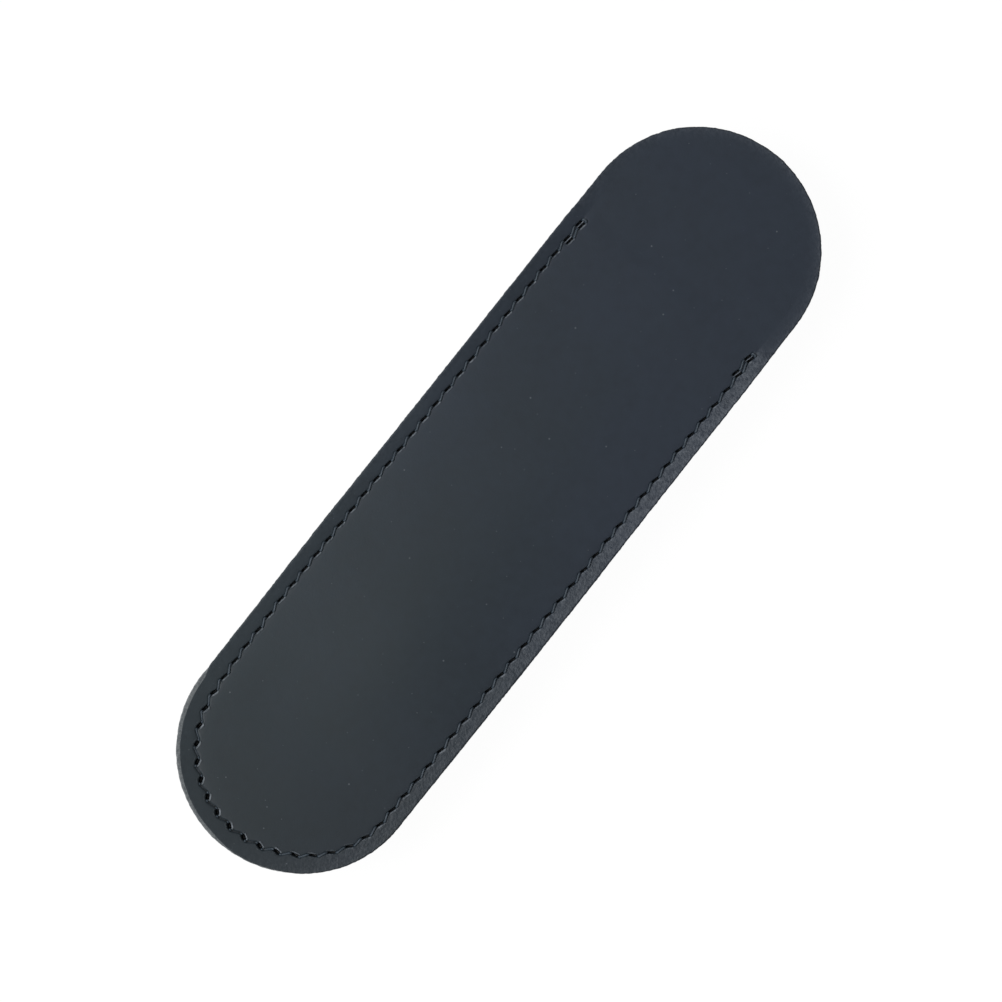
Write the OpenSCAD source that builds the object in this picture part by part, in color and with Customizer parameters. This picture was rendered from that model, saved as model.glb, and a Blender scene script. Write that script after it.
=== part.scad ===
// Single pen sleeve: a long leather back with a round tongue, a shorter leather front that makes
// the pocket, and one lockstitched seam of two threads that joins them. It lies on its front, with
// the tongue towards +X and the back upwards. The origin is the middle of its box, at the bottom.

/* [Outline] */
// Length of the back, over both round ends
sleeve_l = 160; // [130:1:190]
// Width of the back and the front
sleeve_w = 45; // [40:1:60]
// Straight length of the tongue's sides, from the mouth's corners to the round tip
tongue_side_l = 7; // [3:0.5:20]
// How far the mouth of the pocket is cut back at its middle
mouth_scoop = 6; // [2:0.5:10]

/* [Leather] */
// Thickness of each leather panel
leather_t = 1.4; // [1.2:0.1:2]
// How far the back is bowed up at its middle
back_rise = 1.4; // [1:0.2:3]
// How far the front is bowed down at its middle
front_drop = 7.6; // [5.8:0.2:9.4]
// Width of the flat along the front that the sleeve lies on
rest_w = 8; // [6:1:12]

/* [Seam] */
// Distance from the leather's edge to the row of stitches
seam_inset = 2.7; // [2.2:0.1:4]
// Stitch length that the seam is sewn at, before it is spread evenly
stitch_l = 3.45; // [3:0.05:5]
// Distance from the last needle slit to the corner of the mouth
seam_to_mouth = 2.4; // [1.2:0.1:3]
// Stitches sewn back over each end of the seam
backtack_n = 1; // [1:1:4]
// Distance of the sewn-back row from the seam
backtack_gap = 0.8; // [0.75:0.05:1.2]

/* [Thread and slits] */
// Thickness of the thread
thread_d = 0.42; // [0.36:0.02:0.46]
// Length of each slit that the needle cuts
slit_l = 1.45; // [1.45:0.05:1.7]
// Slant of each slit, and of the stitches between them, to the seam
slit_slant = 18; // [0:1:24]

/* [Hidden] */

// Clearances of the thread: over the leather, beside it and at the ends of a slit
thread_lift = 0.03;
slit_side_clear = 0.08;
slit_end_clear = 0.03;
// Gap between the two threads where they lock inside the leather
lock_gap = 0.08;
// How far the tight bends of the thread reach along a slit, as a share of its radius
bend_reach = 0.85;
// Room between the last slit and the place where the leather starts to bow
land_margin = 0.1;
// Steps across the bowed part of a panel, and sides of a thread
bow_steps = 16;
thread_sides = 6;
round_fn = 96;
// How far a cutter runs past what it cuts
past = 1;

// Plan of the sleeve
end_r = sleeve_w / 2;
bottom_x = end_r - sleeve_l / 2;
tip_x = sleeve_l / 2 - end_r;
mouth_x = tip_x - tongue_side_l;

// Slits, and the flat land along the edge that holds every one of them
slit_w = thread_d + 2 * slit_side_clear;
slit_reach = slit_l / 2 * sin(slit_slant) + slit_w / 2 * cos(slit_slant);
land_w = seam_inset + backtack_gap + slit_reach + land_margin;
bow_r = end_r - land_w;

// Heights: the panels meet at seam_z, and the flat of the front lies at 0
seam_z = front_drop + leather_t;
back_top_z = seam_z + leather_t;

// The seam runs from the mouth down one side, round the bottom and up the other side
seam_r = end_r - seam_inset;
seam_end_x = mouth_x - seam_to_mouth;
seam_side_l = seam_end_x - bottom_x;
seam_l = 2 * seam_side_l + PI * seam_r;
stitch_n = round(seam_l / stitch_l);
stitch_step = seam_l / stitch_n;

// Thread: heights of its runs outside and inside the leather, and how far from the middle
// of a slit it turns down at the top and levels out at the bottom
thread_r = thread_d / 2;
run_z = back_top_z + thread_lift + thread_r;
lock_z = seam_z + lock_gap / 2 + thread_r;
turn_out = slit_l / 2 - bend_reach * thread_r - slit_end_clear;
turn_in = bend_reach * thread_r + slit_end_clear;

// Rise of the back, and fall of the front, at a distance y from the long axis
function back_bow(y) = y >= bow_r ? 0 : back_rise * cos(90 * y / bow_r);
function front_bow(y) =
    y >= bow_r ? 0
    : y <= rest_w / 2 ? -front_drop
    : -front_drop * (1 + cos(180 * (y - rest_w / 2) / (bow_r - rest_w / 2))) / 2;

// Middle line of a panel, from the long axis out to the edge
function back_line() = concat(
    [for (i = [0:bow_steps]) [bow_r * i / bow_steps, back_bow(bow_r * i / bow_steps)]],
    [[end_r, 0]]
);
function front_line() = concat(
    [[0, -front_drop]],
    [for (i = [0:bow_steps])
        let (y = rest_w / 2 + (bow_r - rest_w / 2) * i / bow_steps)
        [y, front_bow(y)]],
    [[end_r, 0]]
);

function unit(v) = v / norm(v);
function left_of(v) = [-v[1], v[0]];

// Offset at a point of a line that keeps the same thickness on both sides of a bend
function mitre(line, i) =
    let (
        last = len(line) - 1,
        before = left_of(unit(line[max(i, 1)] - line[max(i, 1) - 1])),
        after = left_of(unit(line[min(i, last - 1) + 1] - line[min(i, last - 1)]))
    )
    i == 0 || i == last ? [0, 1] : (before + after) / (1 + before * after);

// Half section of a panel whose middle line is given: along the top, then back along the underside
function half_section(line) = concat(
    [for (i = [0:len(line) - 1]) line[i] + mitre(line, i) * leather_t / 2],
    [for (i = [len(line) - 1:-1:0]) line[i] - mitre(line, i) * leather_t / 2]
);

// A panel of even thickness from the bottom centre to x_end, with a round bottom end
module bowed_panel(line, mid_z, x_end, round_tip) {
    section = half_section(line);
    translate([bottom_x, 0, mid_z])
        rotate([0, 0, 90])
            rotate_extrude(angle = 180, $fn = round_fn) polygon(section);
    for (side = [0, 1])
        mirror([0, side, 0])
            translate([bottom_x, 0, mid_z])
                rotate([90, 0, 90])
                    linear_extrude(height = x_end - bottom_x) polygon(section);
    if (round_tip)
        translate([x_end, 0, mid_z])
            rotate([0, 0, -90])
                rotate_extrude(angle = 180, $fn = round_fn) polygon(section);
}

// Place and travel direction on the seam at a distance s along it
function seam_place(s) =
    s <= seam_side_l ? [seam_end_x - s, seam_r]
    : s >= seam_l - seam_side_l ? [seam_end_x - (seam_l - s), -seam_r]
    : let (turn = 90 + (s - seam_side_l) / seam_r * 180 / PI)
      [bottom_x + seam_r * cos(turn), seam_r * sin(turn)];
function seam_heading(s) =
    s <= seam_side_l ? 180
    : s >= seam_l - seam_side_l ? 360
    : 180 + (s - seam_side_l) / seam_r * 180 / PI;

// A needle hole is [x, y, direction of its slit, as the thread travels it]
function seam_hole(i) =
    let (s = i * stitch_step, p = seam_place(s))
    [p[0], p[1], seam_heading(s) - slit_slant];
function backtack_hole(i) =
    let (hole = seam_hole(i), inward = hole[1] > 0 ? -backtack_gap : backtack_gap)
    [hole[0], hole[1] + inward, hole[2] + 180];
holes = concat(
    [for (i = [backtack_n:-1:0]) backtack_hole(i)],
    [for (i = [0:stitch_n]) seam_hole(i)],
    [for (i = [stitch_n:-1:stitch_n - backtack_n]) backtack_hole(i)]
);

// Every needle slit, through both panels
module slits() {
    for (hole = holes)
        translate([hole[0], hole[1], seam_z])
            rotate([0, 0, hole[2]])
                cube([slit_l, slit_w, 2 * (leather_t + past)], center = true);
}

// Middle line of the needle thread: in at one end of each slit, along the bottom, out at the other
thread_path = [
    for (hole = holes)
        let (along = [cos(hole[2]), sin(hole[2]), 0])
        for (stop = [[-turn_out, run_z], [-turn_in, lock_z], [turn_in, lock_z], [turn_out, run_z]])
            [hole[0], hole[1], 0] + along * stop[0] + [0, 0, stop[1]]
];

// Ring of points round the middle line at point i, square to the bend there
function thread_ring(i) =
    let (
        last = len(thread_path) - 1,
        before = unit(thread_path[max(i, 1)] - thread_path[max(i, 1) - 1]),
        after = unit(thread_path[min(i, last - 1) + 1] - thread_path[min(i, last - 1)]),
        along = unit(before + after),
        side = unit([-along[1], along[0], 0]),
        up = cross(along, side),
        bend = after - before,
        inner = norm(bend) < 0.001 ? up : unit(bend),
        stretch = 1 / (along * after) - 1
    )
    [for (k = [0:thread_sides - 1])
        let (
            turn = 360 * (k + 0.5) / thread_sides,
            offset = thread_r * (cos(turn) * side + sin(turn) * up)
        )
        thread_path[i] + offset + stretch * (offset * inner) * inner];

// The thread as one closed tube of triangles
module thread_tube() {
    rings = len(thread_path);
    points = [for (i = [0:rings - 1]) each thread_ring(i)];
    sides = [
        for (i = [0:rings - 2])
            for (k = [0:thread_sides - 1])
                let (
                    a = i * thread_sides + k,
                    b = i * thread_sides + (k + 1) % thread_sides
                )
                each [[a, b, b + thread_sides], [a, b + thread_sides, a + thread_sides]]
    ];
    first_end = [for (k = [1:thread_sides - 2]) [0, k + 1, k]];
    last = (rings - 1) * thread_sides;
    last_end = [for (k = [1:thread_sides - 2]) [last, last + k, last + k + 1]];
    polyhedron(points = points, faces = concat(sides, first_end, last_end));
}

// Back of the pocket and the tongue, one piece of leather
module back_panel() {
    color("#343a40")
        difference() {
            bowed_panel(back_line(), seam_z + leather_t / 2, tip_x, true);
            slits();
        }
}

// Front of the pocket, with the mouth cut back in a shallow arc
module front_panel() {
    scoop_r = (bow_r * bow_r + mouth_scoop * mouth_scoop) / (2 * mouth_scoop);
    color("#2f353b")
        difference() {
            bowed_panel(front_line(), seam_z - leather_t / 2, mouth_x, false);
            slits();
            translate([mouth_x + scoop_r - mouth_scoop, 0, -past])
                cylinder(r = scoop_r, h = seam_z + 2 * past, $fn = 2 * round_fn);
        }
}

// Thread that shows on the back
module needle_thread() {
    color("#23272b") thread_tube();
}

// Thread that shows on the front, locked with the needle thread inside the leather
module bobbin_thread() {
    color("#23272b")
        translate([0, 0, 2 * seam_z])
            mirror([0, 0, 1])
                thread_tube();
}

back_panel();
front_panel();
needle_thread();
bobbin_thread();
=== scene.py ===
import math

import bmesh
import bpy
import numpy as np
from mathutils import Matrix, Vector, noise

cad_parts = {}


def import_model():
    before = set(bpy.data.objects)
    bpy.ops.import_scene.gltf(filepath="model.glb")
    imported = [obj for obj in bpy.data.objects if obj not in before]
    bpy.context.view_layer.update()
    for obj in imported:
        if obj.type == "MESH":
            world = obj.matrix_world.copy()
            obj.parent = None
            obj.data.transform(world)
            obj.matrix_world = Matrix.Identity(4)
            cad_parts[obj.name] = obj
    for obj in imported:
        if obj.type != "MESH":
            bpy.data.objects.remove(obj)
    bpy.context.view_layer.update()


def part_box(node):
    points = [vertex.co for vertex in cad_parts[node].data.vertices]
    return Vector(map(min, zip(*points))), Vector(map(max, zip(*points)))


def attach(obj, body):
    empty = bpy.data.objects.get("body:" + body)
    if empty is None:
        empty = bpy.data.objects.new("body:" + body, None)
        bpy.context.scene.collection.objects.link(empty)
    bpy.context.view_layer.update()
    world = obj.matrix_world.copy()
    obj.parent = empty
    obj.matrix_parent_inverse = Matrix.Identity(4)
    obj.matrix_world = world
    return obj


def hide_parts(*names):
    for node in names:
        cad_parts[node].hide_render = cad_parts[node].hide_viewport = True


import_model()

# Single pen sleeve, dressed: two panels of leather and the two threads of the seam that joins them.
# Lengths are in millimetres until a mesh is made. The plan and the heights come from the frame.
MM = 0.001


def corners(node):
    """Lowest and highest corner of a CAD node, in millimetres."""
    return [[round(c / MM, 3) for c in corner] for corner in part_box(node)]


BACK_LO, BACK_HI = corners("back_panel")
FRONT_HI = corners("front_panel")[1]
END_R = (BACK_HI[1] - BACK_LO[1]) / 2
TIP_X = BACK_HI[0] - END_R
BOTTOM_X = BACK_LO[0] + END_R
MOUTH_X = FRONT_HI[0]
SEAM_Z = FRONT_HI[2]

# Leather, as in the CAD model
LEATHER_T = 1.4
FRONT_DROP = SEAM_Z - LEATHER_T
REST_W = 8
MOUTH_SCOOP = 6
LAND_W = 4.1
BOW_R = END_R - LAND_W
GLUE_GAP = 0.01
# How far the mouth's arc and the seam's flare reach into the front
SCOOP_STEP = 16
LAND_STEP = 4

# Seam, as in the CAD model
SEAM_INSET = 2.7
STITCH_L = 3.45
SEAM_TO_MOUTH = 2.4
BACKTACK_N = 1
SEAM_R = END_R - SEAM_INSET
SEAM_END_X = MOUTH_X - SEAM_TO_MOUTH
SEAM_SIDE_L = SEAM_END_X - BOTTOM_X
SEAM_L = 2 * SEAM_SIDE_L + math.pi * SEAM_R
STITCH_N = round(SEAM_L / STITCH_L)
STITCH_STEP = SEAM_L / STITCH_N

# The seam as it was guided by hand. Slants are in degrees. Places along the row count from the
# middle of the bottom, below 0 on the sleeve's left. FADE is the length of the soft change there.
BACKTACK_GAP = 0.66
SLIT_SLANT = 15.5
SLANT_LESS_ON_LEFT = 7
SLANT_IN_BEND = 21
THREAD_SLANT = 13
THREAD_SLANT_IN_BEND = 11
LEFT_UP_TO = -28
LEFT_FADE = 8
TURNED_UP_TO = 18
TURNED_FADE = 16
# How far in the row lies at each of these places along it
ROW_FROM_BOTTOM = (-50, -42, -38, -30, 10, 17, 25, 32, 40)
ROW_MOVED_IN = (0, 0.33, 0.33, 0.93, 0.93, 0.58, 0.22, 0.2, 0)

# Slits with funnels round them, whose lips are lightened by wear and by painted highlight, and the
# troughs that the stitches press into the leather
SLIT_L = 1.64
SLIT_W = 0.43
SLIT_SHORTER_IN_BEND = 0.21
SLIT_WIDER_IN_BEND = 0.34
SLIT_WALL = 0.1
SLIT_DEPTH = 1.28
FUNNEL_DEPTH = 0.17
FUNNEL_REACH = 0.3
TROUGH_DEPTH = 0.05
TROUGH_DIP = 0.16
TROUGH_IN_BEND = 0.2
TROUGH_REACH = 0.28
TROUGH_FLAT = 1.25

# Wear and painted highlight of a slit's lip, in shares. It is lightened most on the side away from
# the light, which lies in the direction AWAY and whose wall faces the lamp, so that part is painted
# highlight; least on the other, and more in the bend than along the sides.
AWAY_X = 0.62
AWAY_Y = -0.78
LIP_FLAT = 1.2
LIP_LEAST = 0.12
LIP_MIDDLE = 0.45
LIP_TURN = 0.75
LIP_ON_SIDE = 0.55
LIP_IN_BEND = 0.45

# Thread of three plies
THREAD_R = 0.2
THREAD_SIDES = 12
THREAD_STEP = 0.14
THREAD_PLIES = 3
PLY_DEPTH = 0.14
TWIST_L = 2.2
END_REACH = 1.13
BAR_RISE = 0.03
BAR_CROWN = 0.06
BAR_SUNK_IN_BEND = 0.47
# Painted shade on the thread: depth below the leather where it starts to darken, and over how much
# it grows
PAINTED_SHADE_FROM = 0.25
PAINTED_SHADE_FADE = 0.2
# The thread's way into a slit: reach from the slit's middle, share of the thread's own heading in
# its direction, and height over the leather
THREAD_DIPS = ((END_REACH, 1, BAR_RISE), (0.96, 0.5, -0.12), (0.83, 0, -0.45), (0.67, 0, -0.85))
THREAD_DEEPEST = -1.05

# Allowance: both layers flare up towards the edge, more towards the mouth. Here and below, FROM is
# where a soft step starts along the sleeve, UP_TO or PAST where it ends, and STEP its length.
FLARE_LEFT_BOTTOM = 0.24
FLARE_LEFT_MOUTH = 0.6
FLARE_LEFT_FROM = 0
FLARE_LEFT_STEP = 45
FLARE_RIGHT_BOTTOM = 0.18
FLARE_RIGHT_MOUTH = 0.8
FLARE_RIGHT_FROM = -55
FLARE_RIGHT_STEP = 100
FLARE_ON_TONGUE = 0.13
FLARE_PAST_MOUTH = 5
FLARE_MOUTH_STEP = 9
FLARE_PAST_TIP = 14
FLARE_TIP_STEP = 14
FLARE_CURVE = 1.1
FLARE_MOST = 1.2
# Across the sleeve the change is in half widths
RIGHT_UP_TO = 0.2
RIGHT_STEP = 1.2
POCKET_PAST_MOUTH = 1.5
POCKET_STEP = 4

# Swell of the back over the pocket, to a low crest that lies a little off the middle
POCKET_RISE = 1.08
TONGUE_RISE = 0.12
SWELL_UP_TO = 45
SWELL_STEP = 80
BOTTOM_SHARE = 0.1
BOTTOM_UP_TO = -27
BOTTOM_STEP = 32
CREST_Y = -2.7
CREST_ROUND = 0.55
EDGE_RISE = 0.12
EDGE_RISE_REACH = 2.2
VALLEY_DEPTH = 0.04
VALLEY_REACH = 0.6

# Small relief of the leather: sizes of its features, and seeds of their noise
CREASE_FROM = -0.1
CREASE_STEP = 0.6
PEBBLE_RISE = 0.045
PEBBLE_SIZE = 1.1
PEBBLE_SEED = 41.3
FINE_PEBBLES = 0.6
FINE_PEBBLE_SIZE = 0.5
FINE_PEBBLE_SEED = 43.9
WAVE_RISE = 0.07
WAVE_SIZE = 26
WAVE_SEED = 3.1
RIPPLE_RISE = 0.03
RIPPLE_SIZE = 9
RIPPLE_SEED = 7.7

# Cut edges: worn arrises, with open fibres between them
ARRIS_R = 0.26
EDGE_FADE = 0.7
ARRIS_SHARE = 0.8
EDGE_TURNS = (22.5, 45, 67.5)
EDGE_SHARES = (0.26, 0.42, 0.58, 0.74)
RAW_LEDGE = 0.9
MOUTH_BULGE = 0.18
MOUTH_ROWS = (0.15, 0.5, 0.85)
ROUGH_RISE = 0.05
ROUGH_SIZE = 0.5
ROUGH_SEED_STEP = 3
BACK_ROUGH_SEED = 4
FRONT_ROUGH_SEED = 34
RAGGED = 0.055
FIBRE_SIZE = 1.1
FINE_FIBRES = 0.8
FINE_FIBRE_SIZE = 0.45
FINE_FIBRE_SEED = 4
CUT_WAVE_RISE = 0.04
CUT_WAVE_SIZE = 9
CUT_WAVE_SEED = 8
BACK_CUT_SEED = 5.3
FRONT_CUT_SEED = 25.3
TONGUE_NARROWER = 0.06
# Where the hand-cut outline stands out or falls in: x, y, reach along it, and how far out
CUT_WANDERS = (
    (-18, -22.5, 30, 0.22),
    (38, -22.5, 10, 0.06),
    (55, -22.5, 14, -0.08),
    (-72, -12, 9, -0.16),
    (-72, 12, 10, 0.14),
    (-56, 22.5, 6, -0.1),
    (58, 22.5, 10, -0.08),
    (-22, 22.5, 12, 0.12),
)
# Round the bottom the back's edge lies inside the front's. Angles are in degrees, with 180 at the
# very bottom and more on the sleeve's right, where it lies in less.
BACK_HELD_IN = 0.74
BACK_HELD_IN_PAST = 0.45
FRONT_STANDS_OUT = 0.1
HELD_UP_TO = 188
HELD_PAST_FROM = 168
HELD_PAST_UP_TO = 222
HELD_TURN = 20
HELD_FROM_SIDE = 2
HELD_STEP = 3

# Wear of the grain
CREASE_WEAR = 0.045
CREASE_WEAR_MORE = 0.1
CREASE_WEAR_FROM = -50
CREASE_WEAR_STEP = 95
EDGE_WEAR = 0.05
EDGE_WEAR_ON_TONGUE = 0.07
EDGE_WEAR_REACH = 0.8
FRONT_WEAR_SHARE = 0.3

# Mesh: columns stand square to the outline, and rings run along it
COLUMNS_PER_STITCH = 16
COARSE = 4
LEAD_COLUMNS = 8
TONGUE_CELLS = 232
STEP = STITCH_STEP / COLUMNS_PER_STITCH
MARGIN_RINGS = (0.45, 0.7, 0.95, 1.2, 1.45, 1.65)
SEAM_RINGS_FROM = 1.8
SEAM_RINGS_TO = 4.5
SEAM_RINGS_STEP = 0.1
INNER_RINGS = (4.6, 4.8)
UNDERSIDE_RINGS = (0.8, 1.6, 2.4, 3.2, 4.0)
COARSE_RINGS = 24
COARSE_EVEN = 0.25
COARSE_CURVE = 1.6
GRAIN, RAW, FLESH = 0, 1, 2

# Colours
DYED_LEFT = (0.0156, 0.0254, 0.0327, 1)
DYED_RIGHT = (0.0168, 0.0254, 0.0403, 1)
# Worn grain, also mixed in as painted highlight on the slits' lips
WORN_AND_LIT = (0.2, 0.222, 0.25, 1)
# Painted shade inside the slits and on thread that lies deep in them
SLIT_SHADE = (0.002, 0.003, 0.004, 1)
BLACK = (0, 0, 0, 1)
SPECK = (0.16, 0.18, 0.2, 1)
RAW_DARK = (0.085, 0.096, 0.104, 1)
RAW_LIGHT = (0.215, 0.229, 0.236, 1)
FLESH_DARK = (0.035, 0.043, 0.052, 1)
FLESH_LIGHT = (0.075, 0.085, 0.098, 1)
THREAD_DARK = (0.017, 0.0265, 0.038, 1)
THREAD_LIGHT = (0.046, 0.0647, 0.084, 1)

# Look of the leather: sizes of its features, and how strongly each of them shows
CLOUD_SIZE = 22
MOTTLE_SIZE = 1.6
GRAIN_SIZE = 0.35
WEAR_SIZE = 0.8
CREASE_SIZE = 0.45
DYE_TURN_L = 50
DYE_TO_TONGUE = 0.9
DYE_TO_RIGHT = 0.4
DYE_RIGHT_FROM = -19
DYE_RIGHT_UP_TO = -2
DYE_CLOUDED = 0.15
# Darker towards the corner of the bottom and the sleeve's right
CORNER_DARKER = 0.17
CORNER_DARKER_FROM = -75
CORNER_DARKER_UP_TO = -30
BLOTCH_DARKER = 0.14
PATCH_LEAST = 0.2
PATCH_MOST = 1.6
CREASED_WEAR = 0.08
SPECK_SPACING = 9
SPECK_R = 0.2
FINE_SPECK_SPACING = 4.5
FINE_SPECK_R = 0.1
SPECKS_SHOW = 0.4
GLOSS = (0.52, 0.6)
POLISH = 0.1
MOTTLE_RELIEF = 1.5
CREASE_RELIEF = 11
GRAIN_DEPTH = 0.016
NOISE_LOW = 0.3
NOISE_HIGH = 0.7


def smooth(t):
    """0 below 0, 1 above 1, and a soft step between."""
    t = np.clip(t, 0, 1)
    return t * t * (3 - 2 * t)


def rises(v, start, step):
    """0 up to a start, 1 from a step past it on, and a soft change between."""
    return smooth((v - start) / step)


def falls(v, end, step):
    """1 up to a step before an end, 0 from the end on, and a soft change between."""
    return smooth((end - v) / step)


def bumps(x, y, size, seed):
    """Soft noise over the plan, about -1 to 1, with features of one size."""
    flat = [noise.noise((a / size, b / size, seed)) for a, b in zip(x.ravel(), y.ravel())]
    return np.array(flat).reshape(x.shape)


# Plan

def seam_columns(s):
    """Foot on the long axis and outward angle of the columns at distances s along the seam."""
    foot = np.maximum(SEAM_END_X - np.minimum(s, SEAM_L - s), BOTTOM_X)
    turn = math.pi / 2 + np.clip((s - SEAM_SIDE_L) / SEAM_R, 0, math.pi)
    return foot, turn


def tongue_columns(first_foot):
    """The columns that close the outline round the tongue, between the two ends of the seam."""
    side = TIP_X - first_foot
    total = 2 * side + math.pi * END_R
    along = np.linspace(0, total, TONGUE_CELLS + 1)[1:-1]
    foot = TIP_X - np.maximum(side - np.minimum(along, total - along), 0)
    turn = -math.pi / 2 + np.clip((along - side) / END_R, 0, math.pi)
    return foot, turn


def polar(x, y):
    """Inset from the outline and outward angle of points of the plan."""
    foot = np.clip(x, BOTTOM_X, TIP_X)
    return END_R - np.hypot(x - foot, y), np.arctan2(y, x - foot)


def beside_row(x, y):
    """How far outside the row of stitches a point of the plan lies, and the row's inset there."""
    inset, turn = polar(x, y)
    past = SEAM_R * (math.pi - np.abs(turn)) + np.clip(x, BOTTOM_X, TIP_X) - BOTTOM_X
    row = SEAM_INSET + np.interp(np.where(y < 0, past, -past), ROW_FROM_BOTTOM, ROW_MOVED_IN)
    return row - inset, row


def seam_hole(i):
    """Place of a needle hole on the seam, the directions of its slit and of the thread that leaves
    it, and up to 1 where the row was sewn round the bend."""
    foot, turn = (float(v) for v in seam_columns(i * STITCH_STEP))
    bend = math.sqrt(max(0, -math.cos(turn)))
    past = i * STITCH_STEP - SEAM_L / 2
    r = SEAM_R - float(np.interp(past, ROW_FROM_BOTTOM, ROW_MOVED_IN))
    turned = bend * float(falls(past, TURNED_UP_TO, TURNED_FADE))
    less = SLANT_LESS_ON_LEFT * float(falls(past, LEFT_UP_TO, LEFT_FADE))
    heading = turn + math.pi / 2
    slit = heading - math.radians(SLIT_SLANT - less + SLANT_IN_BEND * turned)
    thread = heading - math.radians(THREAD_SLANT + THREAD_SLANT_IN_BEND * turned)
    return foot + r * math.cos(turn), r * math.sin(turn), slit, thread, turned


def backtack_hole(i):
    """Place of a needle hole in the stitches sewn back over the seam's end."""
    x, y, heading, thread, bend = seam_hole(i)
    return x, y - math.copysign(BACKTACK_GAP, y), heading + math.pi, thread + math.pi, bend


HOLES = (
    [backtack_hole(i) for i in range(BACKTACK_N, -1, -1)]
    + [seam_hole(i) for i in range(STITCH_N + 1)]
    + [backtack_hole(i) for i in range(STITCH_N, STITCH_N - BACKTACK_N - 1, -1)]
)


# Heights

def in_pocket(x):
    """1 along the pocket, and 0 on the tongue."""
    return falls(x, MOUTH_X + POCKET_PAST_MOUTH, POCKET_STEP)


def right_share(y):
    """1 on the right of the sleeve, which is the side towards -Y, and 0 on its left."""
    return falls(y / END_R, RIGHT_UP_TO, RIGHT_STEP)


def between(low, high, share):
    """The value a share of the way from one to another."""
    return low + (high - low) * share


def flare(x, y):
    """Rise of both layers of the allowance towards their edge."""
    out, row = beside_row(x, y)
    left_grown = rises(x, FLARE_LEFT_FROM, FLARE_LEFT_STEP)
    left = between(FLARE_LEFT_BOTTOM, FLARE_LEFT_MOUTH, left_grown)
    right_grown = rises(x, FLARE_RIGHT_FROM, FLARE_RIGHT_STEP)
    right = between(FLARE_RIGHT_BOTTOM, FLARE_RIGHT_MOUTH, right_grown)
    pocket = between(left, right, right_share(y))
    tongue = FLARE_ON_TONGUE * falls(x, TIP_X + FLARE_PAST_TIP, FLARE_TIP_STEP)
    height = between(tongue, pocket, falls(x, MOUTH_X + FLARE_PAST_MOUTH, FLARE_MOUTH_STEP))
    return height * np.clip(out / row, 0, FLARE_MOST) ** FLARE_CURVE


def swell(x, y):
    """Rise of the back over the pocket, to a soft crest."""
    w = END_R - SEAM_INSET
    across = y - CREST_Y * np.clip(1 - (y / w) ** 2, 0, 1)
    r = np.clip(np.hypot(x - np.clip(x, BOTTOM_X, TIP_X), across) / w, 0, 1)
    top = math.hypot(1, CREST_ROUND)
    share = (top - np.hypot(r, CREST_ROUND)) / (top - CREST_ROUND)
    rise = between(TONGUE_RISE, POCKET_RISE, falls(x, SWELL_UP_TO, SWELL_STEP))
    rise = rise * (1 - (1 - BOTTOM_SHARE) * falls(x, BOTTOM_UP_TO, BOTTOM_STEP))
    edge = 1 - np.exp(np.minimum(beside_row(x, y)[0], 0) / EDGE_RISE_REACH)
    return rise * share + EDGE_RISE * edge * in_pocket(x) * (1 - right_share(y))


def valley(x, y):
    """Depth of the groove that the thread pulls into the leather."""
    return VALLEY_DEPTH * np.exp(-((beside_row(x, y)[0] / VALLEY_REACH) ** 2)) * in_pocket(x)


def creased(x, y):
    """1 on the flared allowance, whose grain is stretched and pebbled, and 0 elsewhere."""
    past_row = rises(beside_row(x, y)[0], CREASE_FROM, CREASE_STEP)
    return past_row * right_share(y) ** 2 * in_pocket(x)


def pebbles(x, y):
    """Relief of the stretched grain."""
    grain = bumps(x, y, PEBBLE_SIZE, PEBBLE_SEED)
    grain = grain + FINE_PEBBLES * bumps(x, y, FINE_PEBBLE_SIZE, FINE_PEBBLE_SEED)
    return PEBBLE_RISE * grain * creased(x, y)


def unevenness(x, y):
    """Slow waves of leather that has been carried in a pocket."""
    waves = WAVE_RISE * bumps(x, y, WAVE_SIZE, WAVE_SEED)
    return waves + RIPPLE_RISE * bumps(x, y, RIPPLE_SIZE, RIPPLE_SEED)


def seam_level(x, y):
    """Height of the meeting face of the two panels, in the seam and outside it."""
    return SEAM_Z + flare(x, y) + unevenness(x, y)


def back_top(x, y):
    """Top of the back, without its slits and troughs."""
    return seam_level(x, y) + LEATHER_T + swell(x, y) - valley(x, y) + pebbles(x, y)


def back_underside(x, y):
    """Underside of the back."""
    return seam_level(x, y) + swell(x, y) + GLUE_GAP


def bobbin_face(x, y):
    """Outer face of the front along the seam, which looks down, without its slits and troughs."""
    return seam_level(x, y) - LEATHER_T + valley(x, y)


def slit_field(x, y, hole):
    """Depth of one slit and the funnel round it, how much the funnel's lip is lightened by use and
    by painted highlight on the side that faces the lamp, and 1 inside the slit, which gets painted
    shade.
    """
    hx, hy, heading, _, bend = hole
    width = SLIT_W + SLIT_WIDER_IN_BEND * bend
    length = SLIT_L * (1 - SLIT_SHORTER_IN_BEND * bend)
    along = (x - hx) * math.cos(heading) + (y - hy) * math.sin(heading)
    across = (y - hy) * math.cos(heading) - (x - hx) * math.sin(heading)
    past_end = np.maximum(np.abs(along) - (length - width) / 2, 0)
    away = np.hypot(past_end, across)
    outside = away - width / 2
    inside = falls(outside, 0, SLIT_WALL)
    funnel = FUNNEL_DEPTH * smooth(1 - outside / FUNNEL_REACH)
    beside = (np.abs(across) / np.maximum(away, 0.01)) ** 2
    side = math.cos(heading) * AWAY_Y - math.sin(heading) * AWAY_X
    facing = side * np.clip(2 * across / width, -1, 1)
    rubbed_and_lit = LIP_LEAST + (1 - LIP_LEAST) * smooth(LIP_MIDDLE + LIP_TURN * facing)
    worn_and_lit = smooth(LIP_FLAT - outside / FUNNEL_REACH) * beside * rubbed_and_lit
    worn_and_lit = worn_and_lit * (LIP_ON_SIDE + LIP_IN_BEND * bend)
    return np.maximum(SLIT_DEPTH * inside, funnel), worn_and_lit, inside


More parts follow.
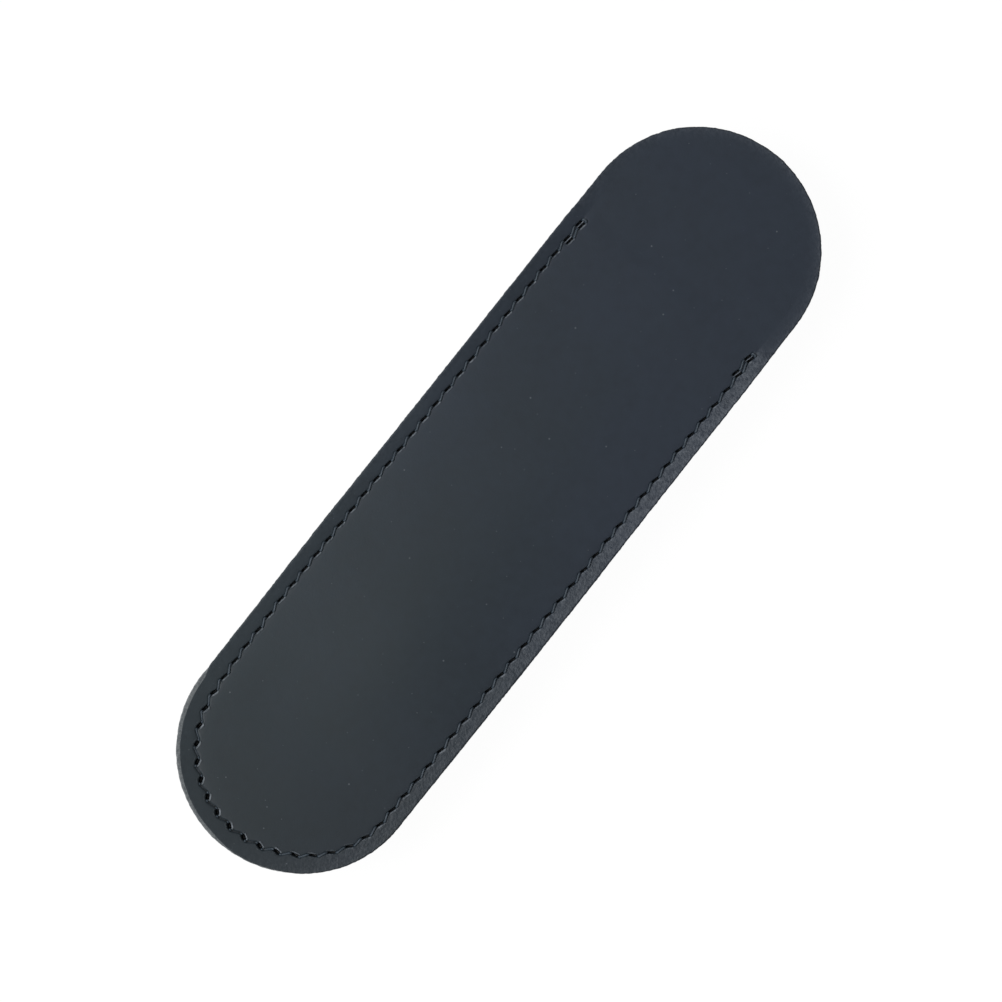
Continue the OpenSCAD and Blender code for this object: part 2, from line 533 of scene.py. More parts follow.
def trough_field(x, y, start, end, bend):
    """Depth of the trough that one stitch presses into the leather."""
    run = (end[0] - start[0], end[1] - start[1])
    t = ((x - start[0]) * run[0] + (y - start[1]) * run[1]) / (run[0] ** 2 + run[1] ** 2)
    t = np.clip(t, 0, 1)
    away = np.hypot(x - start[0] - t * run[0], y - start[1] - t * run[1])
    deep = TROUGH_DEPTH + TROUGH_DIP * np.abs(2 * t - 1) ** 3 + TROUGH_IN_BEND * bend
    return deep * smooth(TROUGH_FLAT - away / TROUGH_REACH)


def slit_end(hole, way, reach=END_REACH, out=1):
    """Where the thread passes one end of a slit. out is 0 inside the slit and 1 on the leather."""
    x, y, heading, thread, bend = hole
    heading += out * (thread - heading)
    reach *= 1 - SLIT_SHORTER_IN_BEND * bend
    return x + way * reach * math.cos(heading), y + way * reach * math.sin(heading)


def relief(x, y):
    """Depth of all slits and troughs, and how much the leather is lightened, by use and by painted
    highlight on the slits' lips, with -1 for painted shade inside the slits, on a grid with a row
    for each mesh column.
    """
    depth, worn_and_lit, painted_shade = (np.zeros_like(x) for _ in range(3))
    middle_x, middle_y = (v[:, v.shape[1] // 2] for v in (x, y))

    def rows_near(px, py):
        return np.nonzero(np.hypot(middle_x - px, middle_y - py) < STITCH_STEP)[0]

    for hole in HOLES:
        near = rows_near(hole[0], hole[1])
        fields = slit_field(x[near], y[near], hole)
        for total, field in zip((depth, worn_and_lit, painted_shade), fields):
            total[near] = np.maximum(total[near], field)
    for hole, following in zip(HOLES, HOLES[1:]):
        start, end = slit_end(hole, 1), slit_end(following, -1)
        near = rows_near((start[0] + end[0]) / 2, (start[1] + end[1]) / 2)
        bend = (hole[-1] + following[-1]) / 2
        depth[near] = np.maximum(depth[near], trough_field(x[near], y[near], start, end, bend))
    # Inside a slit the value is -1, which paints shade there
    return depth, worn_and_lit * (1 - painted_shade) - painted_shade


# Meshes

class Skin:
    """Points and faces of one mesh, made as rings that are joined one after another."""

    def __init__(self, closed):
        self.closed = closed
        self.points = []
        self.wear_and_painted_light = []
        self.faces = []
        self.slots = []
        self.count = 0

    def ring(self, x, y, z, wear_and_painted_light=0.0):
        """Adds a ring of points, each with how much its colour is lightened by use and painted
        highlight or darkened by painted shade, and gives their numbers.
        """
        self.points.append(np.stack([x, y, z], 1))
        self.wear_and_painted_light.append(np.broadcast_to(wear_and_painted_light, x.shape))
        self.count += len(x)
        return np.arange(self.count - len(x), self.count)

    def face(self, corner_numbers, slot):
        """Adds one face of a material slot."""
        self.faces.append([int(n) for n in corner_numbers])
        self.slots.append(slot)

    def join(self, a, b, slot, closed=None):
        """Faces between two rings. One may have a whole number of times the cells of the other."""
        if self.closed if closed is None else closed:
            a, b = np.append(a, a[0]), np.append(b, b[0])
        cells = min(len(a), len(b)) - 1
        wide_a, wide_b = (len(a) - 1) // cells, (len(b) - 1) // cells
        for i in range(cells):
            low = a[i * wide_a:(i + 1) * wide_a + 1]
            high = b[i * wide_b:(i + 1) * wide_b + 1]
            self.face([*low, *high[::-1]], slot)

    def piece(self, name, materials):
        """The finished object, with its points welded where they meet."""
        mesh = bpy.data.meshes.new(name)
        mesh.from_pydata((np.concatenate(self.points) * MM).tolist(), [], self.faces)
        mesh.polygons.foreach_set("material_index", self.slots)
        for material in materials:
            mesh.materials.append(material)
        wear_and_painted_light = mesh.attributes.new("wear_and_painted_light", "FLOAT", "POINT")
        wear_and_painted_light.data.foreach_set("value", np.concatenate(self.wear_and_painted_light))
        work = bmesh.new()
        work.from_mesh(mesh)
        bmesh.ops.remove_doubles(work, verts=work.verts, dist=1e-6)
        work.to_mesh(mesh)
        work.free()
        mesh.polygons.foreach_set("use_smooth", [True] * len(mesh.polygons))
        made = bpy.data.objects.new(name, mesh)
        bpy.context.scene.collection.objects.link(made)
        return made


def seam_distances():
    """Distances along the seam of the fine columns."""
    last = STITCH_N * COLUMNS_PER_STITCH + LEAD_COLUMNS
    return np.arange(-LEAD_COLUMNS, last + 1) * STEP


def fine_insets():
    """Insets of the rings from the arris to the inside of the seam."""
    in_seam = np.arange(SEAM_RINGS_FROM, SEAM_RINGS_TO, SEAM_RINGS_STEP)
    return np.concatenate([[ARRIS_R], MARGIN_RINGS, in_seam, INNER_RINGS])


def coarse_insets():
    """Insets of the rings from the inside of the seam to the long axis."""
    t = np.linspace(0, 1, COARSE_RINGS)[1:]
    first = fine_insets()[-1]
    return first + (END_R - first) * (COARSE_EVEN * t + (1 - COARSE_EVEN) * t**COARSE_CURVE)


def edge_rings():
    """Inset and share of the thickness, bottom to top, of the rings of a cut edge."""
    turns = np.radians(EDGE_TURNS)
    lower = [(ARRIS_R * (1 - math.sin(a)), ARRIS_R * (1 - math.cos(a)) / LEATHER_T) for a in turns]
    upper = [(inset, 1 - share) for inset, share in lower[::-1]]
    return lower + [(0, share) for share in EDGE_SHARES] + upper


def ragged(x, y, seed):
    """How far a cut edge wanders out from the plan."""
    fibres = bumps(x, y, FIBRE_SIZE, seed)
    fibres = fibres + FINE_FIBRES * bumps(x, y, FINE_FIBRE_SIZE, seed + FINE_FIBRE_SEED)
    out = RAGGED * fibres + CUT_WAVE_RISE * bumps(x, y, CUT_WAVE_SIZE, seed + CUT_WAVE_SEED)
    for at_x, at_y, reach, rise in CUT_WANDERS:
        out = out + rise * np.exp(-((x - at_x) ** 2 + (y - at_y) ** 2) / reach**2)
    return out


def held_back(x, y):
    """1 round the bottom's left half, less a little past it, and 0 elsewhere."""
    turn = np.degrees(polar(x, y)[1]) % 360
    past = rises(turn, HELD_PAST_FROM, HELD_TURN) * falls(turn, HELD_PAST_UP_TO, HELD_TURN)
    share = falls(turn, HELD_UP_TO, HELD_TURN) + BACK_HELD_IN_PAST * past
    return share * falls(x, BOTTOM_X + HELD_FROM_SIDE, HELD_STEP)


def back_edge(x, y):
    """How far the back's edge lies out from the plan."""
    narrower = TONGUE_NARROWER * (1 - in_pocket(x))
    return ragged(x, y, BACK_CUT_SEED) - BACK_HELD_IN * held_back(x, y) - narrower


def front_edge(x, y):
    """How far the front's edge lies out from the plan."""
    return ragged(x, y, FRONT_CUT_SEED) + FRONT_STANDS_OUT * held_back(x, y)


def edge_wear(x, y):
    """Wear of the grain: strong on stretched leather, and a little along every edge."""
    near_edge = np.exp(-np.maximum(polar(x, y)[0], 0) / EDGE_WEAR_REACH)
    along_edge = (EDGE_WEAR + EDGE_WEAR_ON_TONGUE * (1 - in_pocket(x))) * near_edge
    more = CREASE_WEAR_MORE * rises(x, CREASE_WEAR_FROM, CREASE_WEAR_STEP)
    return (CREASE_WEAR + more) * creased(x, y) + along_edge


def edge_plan(columns, inset, wander, roughness=0.0):
    """Points of one ring of the plan, with the wander of the cut edge in it and beside it.
    roughness is the seed of an edge's own small relief, or 0 for none."""
    foot, turn = columns
    x, y = foot + (END_R - inset) * np.cos(turn), (END_R - inset) * np.sin(turn)
    out = wander(x, y) * math.exp(-max(inset, 0) / EDGE_FADE)
    if roughness:
        out = out + ROUGH_RISE * bumps(x, y, ROUGH_SIZE, roughness)
    return x + out * np.cos(turn), y + out * np.sin(turn)


def back_panel(materials):
    """The long piece of leather: the back of the pocket and the tongue."""
    seam = seam_columns(seam_distances())
    columns = [np.concatenate(pair) for pair in zip(seam, tongue_columns(seam[0][0]))]
    coarse = [v[::COARSE] for v in columns]
    skin = Skin(closed=True)
    last = None
    underside = np.concatenate([[ARRIS_R], UNDERSIDE_RINGS, coarse_insets()])
    for inset in underside[::-1]:
        x, y = edge_plan(coarse, inset, back_edge)
        now = skin.ring(x, y, back_underside(x, y))
        if last is not None:
            skin.join(last, now, FLESH)
        last = now
    for inset, share in edge_rings():
        seed = BACK_ROUGH_SEED + ROUGH_SEED_STEP * share
        x, y = edge_plan(columns, inset, back_edge, seed)
        low, high = back_underside(x, y), back_top(x, y)
        now = skin.ring(x, y, low + share * (high - low))
        skin.join(last, now, RAW if share < ARRIS_SHARE else GRAIN)
        last = now
    rings = [edge_plan(columns, inset, back_edge) for inset in fine_insets()]
    x, y = (np.stack(v, 1) for v in zip(*rings))
    z, wear_and_painted_light = back_top(x, y), edge_wear(x, y)
    n_seam = len(seam[0])
    depth, worn_and_lit = relief(x[:n_seam], y[:n_seam])
    z[:n_seam] -= depth
    wear_and_painted_light[:n_seam] = np.where(worn_and_lit < 0, worn_and_lit, np.maximum(wear_and_painted_light[:n_seam], worn_and_lit))
    for i in range(x.shape[1]):
        now = skin.ring(x[:, i], y[:, i], z[:, i], wear_and_painted_light[:, i])
        skin.join(last, now, GRAIN)
        last = now
    for inset in coarse_insets():
        x, y = edge_plan(coarse, inset, back_edge)
        now = skin.ring(x, y, back_top(x, y), edge_wear(x, y))
        skin.join(last, now, GRAIN)
        last = now
    return skin.piece("back_leather", materials)


def front_section(insets, side):
    """Insets and heights of one face of the front: side 1 is the inner face, and -1 the outer."""
    mid_y = END_R - insets
    t = np.clip((mid_y - REST_W / 2) / (BOW_R - REST_W / 2), 0, 1)
    mid_z = SEAM_Z - LEATHER_T / 2 - FRONT_DROP * (1 + np.cos(math.pi * t)) / 2
    slope = FRONT_DROP * math.pi / 2 * np.sin(math.pi * t) / (BOW_R - REST_W / 2)
    lean = np.arctan(slope)
    y = mid_y - side * LEATHER_T / 2 * np.sin(lean)
    return END_R - y, mid_z + side * LEATHER_T / 2 * np.cos(lean)


def scooped(x, y):
    """x, moved back near the mouth, whose edge is cut in a shallow arc."""
    scoop_r = (BOW_R**2 + MOUTH_SCOOP**2) / (2 * MOUTH_SCOOP)
    within = np.minimum(np.abs(y), BOW_R)
    cut = np.sqrt(scoop_r**2 - within**2) - (scoop_r - MOUTH_SCOOP)
    return x - cut * rises(x - MOUTH_X, -SCOOP_STEP, SCOOP_STEP)


def front_ring(skin, columns, inset, z, roughness=0.0):
    """A ring of the front. z is its height on a flat seam."""
    x, y = edge_plan(columns, inset, front_edge, roughness)
    near_seam = 1 - rises(inset, LAND_W, LAND_STEP)
    z = z + (seam_level(x, y) - SEAM_Z) * near_seam
    return skin.ring(scooped(x, y), y, z)


def mouth_edge(skin, inner, outer, rim, at_start):
    """The cut edge of the mouth on one side, from the numbers of the end points of the rings."""
    points = np.concatenate(skin.points)
    low, high = points[outer], points[inner]
    rows = [outer]
    for share in MOUTH_ROWS:
        row = low + (high - low) * share
        row[:, 0] += MOUTH_BULGE * math.sin(math.pi * share) ** 0.5
        rows.append(skin.ring(*row.T))
    rows.append(inner)
    way = -1 if at_start else 1
    for a, b in zip(rows, rows[1:]):
        skin.join(a[::way], b[::way], RAW, closed=False)
    corner = [row[0] for row in rows[::-1]] + list(rim[::-1])
    skin.face(corner[::-1] if not at_start else corner, RAW)


def front_panel(materials):
    """The shorter piece of leather: the front of the pocket, which the sleeve lies on."""
    lead = np.linspace(-SEAM_TO_MOUTH, -LEAD_COLUMNS * STEP, COARSE + 1)[:-1]
    columns = seam_columns(np.concatenate([lead, seam_distances(), SEAM_L - lead[::-1]]))
    coarse = [v[::COARSE] for v in columns]
    insets = np.concatenate([fine_insets(), coarse_insets()])
    n_fine = len(fine_insets())
    skin = Skin(closed=False)
    last = None
    inner = []
    for inset, z in list(zip(*front_section(insets, 1)))[::-1]:
        now = front_ring(skin, coarse, inset, z - GLUE_GAP)
        if last is not None:
            skin.join(now, last, RAW if inset < RAW_LEDGE else FLESH)
        inner.insert(0, now[[0, -1]])
        last = now
    rim = []
    for inset, share in edge_rings()[::-1]:
        z = SEAM_Z - LEATHER_T * (1 - share)
        now = front_ring(skin, columns, inset, z, FRONT_ROUGH_SEED + ROUGH_SEED_STEP * share)
        skin.join(now, last, RAW if share > 1 - ARRIS_SHARE else GRAIN)
        rim.append(now[[0, -1]])
        last = now
    outer = []
    section = list(zip(*front_section(insets, -1)))
    rings = [edge_plan(columns, inset, front_edge) for inset, _ in section[:n_fine]]
    x, y = (np.stack(v, 1) for v in zip(*rings))
    z = np.array([height for _, height in section[:n_fine]]) + seam_level(x, y) - SEAM_Z
    depth, worn_and_lit = relief(x, y)
    z += valley(x, y) + depth
    wear_and_painted_light = np.where(worn_and_lit < 0, worn_and_lit, np.maximum(FRONT_WEAR_SHARE * edge_wear(x, y), worn_and_lit))
    for i in range(n_fine):
        now = skin.ring(x[:, i], y[:, i], z[:, i], wear_and_painted_light[:, i])
        skin.join(now, last, GRAIN)
        outer.append(now[[0, -1]])
        last = now
    for inset, height in section[n_fine:]:
        now = front_ring(skin, coarse, inset, height)
        skin.join(now, last, GRAIN)
        outer.append(now[[0, -1]])
        last = now
    for end in (0, 1):
        ends = [np.array([pair[end] for pair in kept]) for kept in (inner, outer, rim)]
        mouth_edge(skin, *ends, at_start=end == 0)
    return skin.piece("front_leather", materials)


def thread_line(level, out):
    """Middle line of a thread, over the leather between the slits and down into each of them, with
    how far it lies outside the leather as a fourth number."""
    stops = [(-1, *dip) for dip in THREAD_DIPS] + [(0, 0, 0, THREAD_DEEPEST)]
    stops += [(1, *dip) for dip in THREAD_DIPS[::-1]]
    x, y, rise = [], [], []
    for hole, following in zip(HOLES, [*HOLES[1:], None]):
        for way, reach, out_of_slit, height in stops:
            px, py = slit_end(hole, way, reach, out_of_slit)
            x.append(px)
            y.append(py)
            rise.append(height - BAR_SUNK_IN_BEND * hole[-1] * (reach == END_REACH))
        if following:
            ends = slit_end(hole, 1), slit_end(following, -1)
            x.append((ends[0][0] + ends[1][0]) / 2)
            y.append((ends[0][1] + ends[1][1]) / 2)
            rise.append(BAR_CROWN - BAR_SUNK_IN_BEND * (hole[-1] + following[-1]) / 2)
    half = len(stops) // 2
    x, y, rise = (np.array(v)[half:-half] for v in (x, y, rise))
    return np.stack([x, y, level(x, y) + out * rise, rise], 1)


def eased(points, step):
    """Points about a step apart on a smooth curve through the given ones."""
    before = np.vstack([2 * points[0] - points[1], points[:-1]])
    after = np.vstack([points[1:], 2 * points[-1] - points[-2]])
    slopes = (after - before) / 2
    curve = []
    for a, b, sa, sb in zip(points, points[1:], slopes, slopes[1:]):
        n = max(2, round(float(np.linalg.norm(b - a)) / step))
        t = np.arange(n)[:, None] / n
        curve.append(
            a * (1 + 2 * t) * (1 - t) ** 2
            + sa * t * (1 - t) ** 2
            + b * t**2 * (3 - 2 * t)
            + sb * t**2 * (t - 1)
        )
    return np.vstack([*curve, points[-1]])


def laid_thread(name, line, material):
    """A tube of twisted plies along a line, with painted shade where it lies deep below the
    leather.
    """
    curve = eased(line, THREAD_STEP)
    # Painted shade on the thread where it lies deep below the leather, in the slits and on the sunk
    # bars in the bend
    points, painted_shade = curve[:, :3], rises(-curve[:, 3], PAINTED_SHADE_FROM, PAINTED_SHADE_FADE)
    tangents = np.gradient(points, axis=0)
    tangents /= np.linalg.norm(tangents, axis=1)[:, None]
    travelled = np.concatenate([[0], np.cumsum(np.linalg.norm(np.diff(points, axis=0), axis=1))])
    side = np.cross(tangents[0], (0, 0, 1))
    skin = Skin(closed=True)
    turn = np.linspace(0, 2 * math.pi, THREAD_SIDES, endpoint=False)
    last = None
    for point, tangent, way, shade in zip(points, tangents, travelled, painted_shade):
        side = side - tangent * (side @ tangent)
        side /= np.linalg.norm(side)
        up = np.cross(side, tangent)
        ply = np.cos(THREAD_PLIES * (turn - 2 * math.pi * way / TWIST_L / THREAD_PLIES))
        radius = THREAD_R * (1 - PLY_DEPTH * (1 - ply) / 2)
        sideways, upwards = radius * np.cos(turn), radius * np.sin(turn)
        ring = point + sideways[:, None] * side + upwards[:, None] * up
        now = skin.ring(*ring.T, -shade)
        if last is None:
            skin.face(now, 0)
        else:
            skin.join(now, last, 0)
        last = now
    skin.face(last[::-1], 0)
    return skin.piece(name, [material])


def needle_stitches(material):
    """The thread of the seam that shows on the back."""
    return laid_thread("needle_stitches", thread_line(back_top, 1), material)


def bobbin_stitches(material):
    """The thread of the seam that shows on the front."""
    return laid_thread("bobbin_stitches", thread_line(bobbin_face, -1), material)


# Materials

def feed(tree, socket, value):
    """Gives a socket a number, a colour or another node's output."""
    if isinstance(value, bpy.types.NodeSocket):
        tree.links.new(value, socket)
    else:
        socket.default_value = value


def node(tree, kind, inputs=None, **settings):
    """A shader node with what goes into it."""
    made = tree.nodes.new(kind)
    for name, value in settings.items():
        setattr(made, name, value)
    for name, value in (inputs or {}).items():
        feed(tree, made.inputs[name], value)
    return made


def shaded(name):
    """A new material, its node tree, its shader and the place on the object as a socket."""
    made = bpy.data.materials.new(name)
    made.use_nodes = True
    tree = made.node_tree
    place = node(tree, "ShaderNodeTexCoord").outputs["Object"]
    return made, tree, tree.nodes["Principled BSDF"], place


def noise_of(tree, place, size, detail=3.0, roughness=0.55):
    """Noise from 0 to 1 with features of a size in millimetres."""
    return node(tree, "ShaderNodeTexNoise", {
        "Vector": place, "Scale": 1 / (size * MM), "Detail": detail, "Roughness": roughness,
    }).outputs["Fac"]


def ranged(tree, value, low, high, to_low, to_high):
    """The value taken from one range to another, and held inside it."""
    return node(tree, "ShaderNodeMapRange", {
        "Value": value, "From Min": low, "From Max": high, "To Min": to_low, "To Max": to_high,
    }).outputs["Result"]


def mixed(tree, share, a, b):
    """A colour between two colours."""
    return node(tree, "ShaderNodeMix", {0: share, 6: a, 7: b}, data_type="RGBA").outputs[2]


def maths(tree, operation, a, b):
    """The result of one operation on two values."""
    return node(tree, "ShaderNodeMath", {0: a, 1: b}, operation=operation).outputs[0]


def summed(tree, *values):
    """The sum of several values."""
    total = values[0]
    for value in values[1:]:
        total = maths(tree, "ADD", total, value)
    return total


def scaled(tree, value, by):
    """The product of two values."""
    return maths(tree, "MULTIPLY", value, by)


def spread(tree, noise_value, low, high):
    """The middle part of a noise, spread from one value to another."""
    return ranged(tree, noise_value, NOISE_LOW, NOISE_HIGH, low, high)


def streaked(tree, noise_value, painted_shade, light):
    """A colour that follows a noise from a dark one to a light one."""
    return mixed(tree, spread(tree, noise_value, 0.0, 1.0), painted_shade, light)


def wear_and_painted_light_of(tree):
    """What the mesh carries: up to 1 where leather is lightened by use and by painted highlight on
    the slits' lips, 0 on the rest, and down to -1 for painted shade in a slit and on thread deep
    below the leather.
    """
    return node(tree, "ShaderNodeAttribute", attribute_name="wear_and_painted_light").outputs["Fac"]


def shaded_in_slits(tree, wear_and_painted_light, colour):
    """The colour with painted shade, darker where the mesh says that it lies in a slit or, for
    thread, deep below the leather.
    """
    return mixed(tree, ranged(tree, wear_and_painted_light, -1.0, 0.0, 1.0, 0.0), colour, SLIT_SHADE)


def finished(tree, shader, colour, roughness, specular):
    """Gives the shader its colour, its roughness and the strength of its highlights."""
    feed(tree, shader.inputs["Base Color"], colour)
    feed(tree, shader.inputs["Roughness"], roughness)
    feed(tree, shader.inputs["Specular IOR Level"], specular)


def bumped(tree, shader, height, depth):
    """Gives the shader a relief of a depth in millimetres."""
    made = node(tree, "ShaderNodeBump", {"Height": height, "Distance": depth * MM, "Strength": 1.0})
    feed(tree, shader.inputs["Normal"], made.outputs["Normal"])


def dust(tree, place, size, radius):
    """1 on tiny specks that lie about as far apart as size, and 0 between them."""
    inputs = {"Vector": place, "Scale": 1 / (size * MM)}
    cell = node(tree, "ShaderNodeTexVoronoi", inputs, voronoi_dimensions="2D")
    lucky = ranged(tree, cell.outputs["Color"], 0.3, 0.8, 0.0, radius / size)
    under = maths(tree, "SUBTRACT", lucky, cell.outputs["Distance"])
    return ranged(tree, under, 0.0, 0.5 * radius / size, 0.0, 1.0)


def dyed_and_darkened(tree, place, cloud, left, right):
    """Colour of the dye, which drifts along and across the sleeve, made darker towards one corner.
    """
    plan = node(tree, "ShaderNodeSeparateXYZ", {"Vector": place})
    along, across = plan.outputs["X"], plan.outputs["Y"]
    to_tongue = ranged(tree, along, -DYE_TURN_L * MM, DYE_TURN_L * MM, 0.0, DYE_TO_TONGUE)
    to_right = ranged(tree, across, DYE_RIGHT_FROM * MM, DYE_RIGHT_UP_TO * MM, DYE_TO_RIGHT, 0.0)
    clouded = spread(tree, cloud, -DYE_CLOUDED, DYE_CLOUDED)
    colour = mixed(tree, summed(tree, to_tongue, to_right, clouded), left, right)
    corner = summed(tree, along, across)
    corner_darkening = ranged(tree, corner, CORNER_DARKER_FROM * MM, CORNER_DARKER_UP_TO * MM, CORNER_DARKER, 0.0)
    return mixed(tree, corner_darkening, colour, BLACK)


def grain_leather(name, left, right):
    """Smooth matte leather with a fine grain, edges and slit lips lightened by use, the lips also
    by painted highlight, painted shade in the slits, and a few specks of dust.
    """
    made, tree, shader, place = shaded(name)
    cloud = noise_of(tree, place, CLOUD_SIZE)
    mottle = noise_of(tree, place, MOTTLE_SIZE)
    fine = noise_of(tree, place, GRAIN_SIZE, detail=2.0)
    patch = noise_of(tree, place, WEAR_SIZE, detail=2.0)
    coarse = noise_of(tree, place, CREASE_SIZE, detail=2.0)
    wear_and_painted_light = wear_and_painted_light_of(tree)
    colour = dyed_and_darkened(tree, place, cloud, left, right)
    blotch = summed(tree, scaled(tree, cloud, 0.5), scaled(tree, mottle, 0.5))
    darker = mixed(tree, BLOTCH_DARKER, colour, BLACK)
    colour = mixed(tree, ranged(tree, blotch, 0.38, 0.62, 0.0, 1.0), darker, colour)
    # Lighter where worn, and on the slits' lips with painted highlight; then painted shade in the
    # slits
    worn_and_lit = scaled(tree, wear_and_painted_light, ranged(tree, patch, 0.35, 0.65, PATCH_LEAST, PATCH_MOST))
    colour = shaded_in_slits(tree, wear_and_painted_light, mixed(tree, worn_and_lit, colour, WORN_AND_LIT))
    large = dust(tree, place, SPECK_SPACING, SPECK_R)
    small = dust(tree, place, FINE_SPECK_SPACING, FINE_SPECK_R)
    specks = scaled(tree, summed(tree, large, small), SPECKS_SHOW)
    colour = mixed(tree, specks, colour, SPECK)
    roughness = summed(tree, spread(tree, mottle, *GLOSS), scaled(tree, wear_and_painted_light, -POLISH))
    finished(tree, shader, colour, roughness, specular=0.38)
    pebbled = scaled(tree, coarse, ranged(tree, wear_and_painted_light, 0.0, CREASED_WEAR, 0.0, CREASE_RELIEF))
    height = summed(tree, fine, scaled(tree, mottle, MOTTLE_RELIEF), pebbled)
    bumped(tree, shader, height, GRAIN_DEPTH)
    return made


def raw_edge(name):
    """Cut edge of the leather, with its fibres open."""
    made, tree, shader, place = shaded(name)
    fibre = noise_of(tree, place, size=0.5, detail=4.0, roughness=0.65)
    colour = streaked(tree, fibre, RAW_DARK, RAW_LIGHT)
    finished(tree, shader, colour, roughness=0.9, specular=0.15)
    bumped(tree, shader, fibre, depth=0.12)
    return made


def flesh_side(name):
    """Inner side of the leather, with a short nap."""
    made, tree, shader, place = shaded(name)
    nap = noise_of(tree, place, size=0.7, detail=5.0, roughness=0.7)
    colour = streaked(tree, nap, FLESH_DARK, FLESH_LIGHT)
    finished(tree, shader, colour, roughness=0.95, specular=0.1)
    bumped(tree, shader, nap, depth=0.1)
    return made


def waxed_thread(name):
    """Thread of filaments, with a little wax on it."""
    made, tree, shader, place = shaded(name)
    fuzz = noise_of(tree, place, size=0.15, detail=2.0)
    colour = streaked(tree, fuzz, THREAD_DARK, THREAD_LIGHT)
    colour = shaded_in_slits(tree, wear_and_painted_light_of(tree), colour)
    finished(tree, shader, colour, roughness=0.5, specular=0.4)
    bumped(tree, shader, fuzz, depth=0.03)
    return made


# Studio, in metres

CAMERA_TURN = math.radians(-51.56)
LENS_MM = 100
SENSOR_MM = 36
FRAME_W = 0.1812
AIM_RIGHT = 0.00033
AIM_UP = -0.00011
CLIP_START = 0.01
CLIP_END = 20
LIGHT_LEVEL = 1.0
WORLD_SHARE = 0.35
KEY_DISTANCE = 1.05
KEY_ELEVATION = math.radians(45)
KEY_SIZE = 0.75
FLOOR_R = 2.2
WALL_R = 3.0
WALL_H = 1.8
FLOOR_SIDES = 96
WALL_TURN = 15
PAPER = 0.8
FLOOR_DIM = 0.06
FLOOR_GLOW = 0.965


def photo_axes():
    """Directions in the row frame that run right and up in the photograph."""
    turn = Matrix.Rotation(CAMERA_TURN, 3, "Z")
    return turn @ Vector((1, 0, 0)), turn @ Vector((0, 1, 0))


def camera():
    """Straight above the sleeve, turned so that the tongue points to the upper right."""
    data = bpy.data.cameras.new("camera")
    data.lens, data.sensor_width = LENS_MM, SENSOR_MM
    data.clip_start, data.clip_end = CLIP_START, CLIP_END
    made = bpy.data.objects.new("camera", data)
    bpy.context.scene.collection.objects.link(made)
    right, up = photo_axes()
    distance = FRAME_W * LENS_MM / SENSOR_MM
    made.location = right * AIM_RIGHT + up * AIM_UP + Vector((0, 0, SEAM_Z * MM + distance))
    made.rotation_euler = (0, 0, CAMERA_TURN)
    bpy.context.scene.camera = made


def key_light():
    """A large soft lamp to the left of the photograph."""
    data = bpy.data.lights.new("key", "AREA")
    data.size = KEY_SIZE
    level = LIGHT_LEVEL * (1 - WORLD_SHARE)
    data.energy = level * math.pi**2 * KEY_DISTANCE**2 / math.sin(KEY_ELEVATION)
    made = bpy.data.objects.new("key", data)
    bpy.context.scene.collection.objects.link(made)
    right, _ = photo_axes()
    from_left = -right * math.cos(KEY_ELEVATION) + Vector((0, 0, math.sin(KEY_ELEVATION)))
    made.location = from_left * KEY_DISTANCE
    made.rotation_euler = (-from_left).to_track_quat("-Z", "Y").to_euler()
    made.visible_camera = False


def world():
    """Even light from all round."""
    made = bpy.data.worlds.new("world")
    made.use_nodes = True
    back = made.node_tree.nodes["Background"]
    back.inputs["Color"].default_value = (1, 1, 1, 1)
    back.inputs["Strength"].default_value = LIGHT_LEVEL * WORLD_SHARE
    bpy.context.scene.world = made


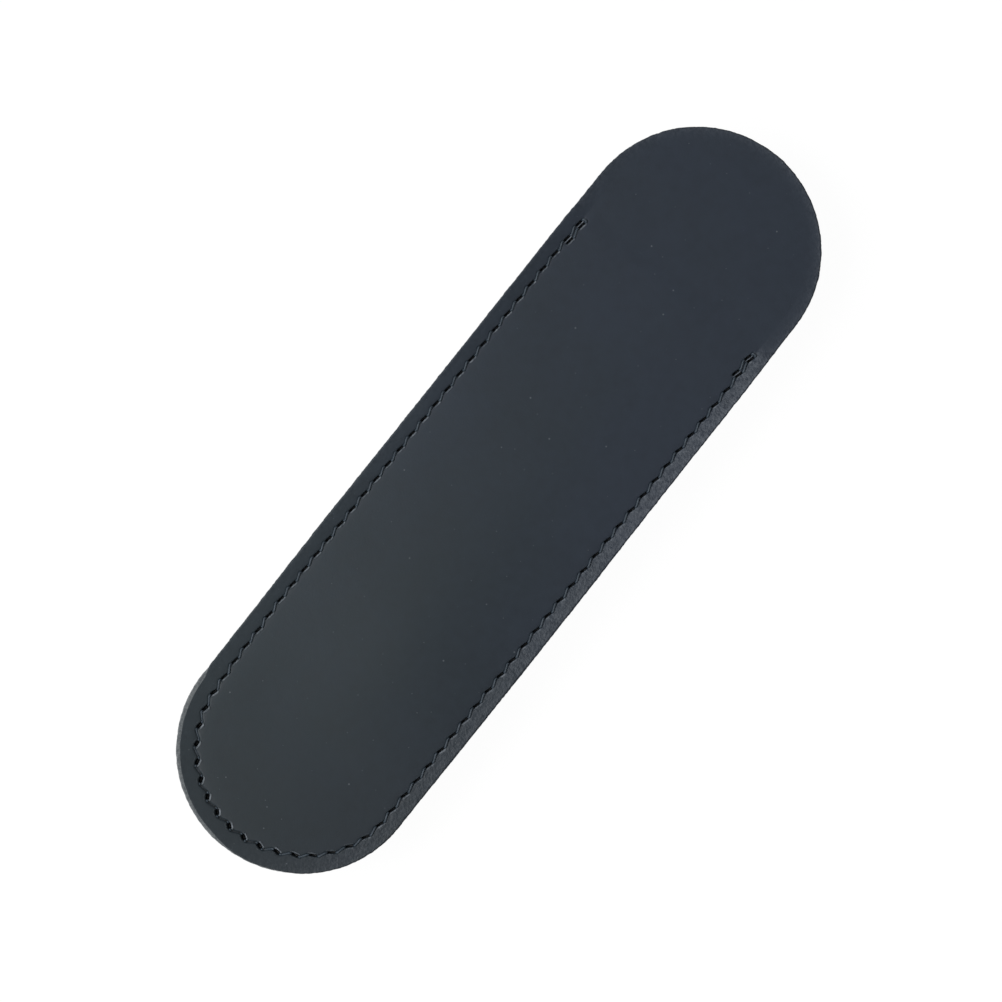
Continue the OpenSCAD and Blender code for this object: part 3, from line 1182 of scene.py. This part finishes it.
def white_floor():
    """White paper that shows white and keeps a soft shadow."""
    made = bpy.data.materials.new("white_floor")
    made.use_nodes = True
    tree = made.node_tree
    tree.nodes.clear()
    path = node(tree, "ShaderNodeLightPath")
    rays = "Is Camera Ray", "Is Glossy Ray", "Is Transmission Ray"
    seen = summed(tree, *(path.outputs[ray] for ray in rays))
    paper = node(tree, "ShaderNodeBsdfDiffuse", {"Color": (PAPER, PAPER, PAPER, 1)})
    dim = node(tree, "ShaderNodeBsdfDiffuse", {"Color": (FLOOR_DIM, FLOOR_DIM, FLOOR_DIM, 1)})
    glow = node(tree, "ShaderNodeEmission", {"Color": (1, 1, 1, 1), "Strength": FLOOR_GLOW})
    shown = node(tree, "ShaderNodeAddShader", {0: dim.outputs[0], 1: glow.outputs[0]})
    mix = node(tree, "ShaderNodeMixShader", {0: seen, 1: paper.outputs[0], 2: shown.outputs[0]})
    node(tree, "ShaderNodeOutputMaterial", {"Surface": mix.outputs[0]})
    return made


def studio_floor():
    """A round floor that curves up into a low wall."""
    turn = np.linspace(0, 2 * math.pi, FLOOR_SIDES, endpoint=False)
    bend = WALL_R - FLOOR_R
    profile = [(FLOOR_R, 0.0)]
    for a in np.radians(np.arange(WALL_TURN, 91, WALL_TURN)):
        profile.append((FLOOR_R + bend * math.sin(a), bend * (1 - math.cos(a))))
    profile.append((WALL_R, WALL_H))
    skin = Skin(closed=True)
    last = None
    for r, z in profile[::-1]:
        now = skin.ring(r * np.cos(turn) / MM, r * np.sin(turn) / MM, np.full(len(turn), z / MM))
        if last is not None:
            skin.join(last, now, 0)
        last = now
    skin.face(last, 0)
    made = skin.piece("studio_floor", [white_floor()])


def dress():
    """Makes every piece, attaches it to the root body and hides the CAD node that it stands for."""
    raw = raw_edge("raw_edge")
    flesh = flesh_side("flesh_side")
    back = grain_leather("back_leather", DYED_LEFT, DYED_RIGHT)
    front = grain_leather("front_leather", DYED_LEFT, DYED_RIGHT)
    thread = waxed_thread("sewing_thread")
    pieces = (
        (back_panel([back, raw, flesh]), "back_panel", "back_leather"),
        (front_panel([front, raw, flesh]), "front_panel", "front_leather"),
        (needle_stitches(thread), "needle_thread", "sewing_thread"),
        (bobbin_stitches(thread), "bobbin_thread", "sewing_thread"),
    )
    for piece, cad_node, slot in pieces:
        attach(piece, "root")
        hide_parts(cad_node)


camera()
key_light()
world()
studio_floor()
dress()
bpy.context.scene.view_settings.view_transform = "Standard"
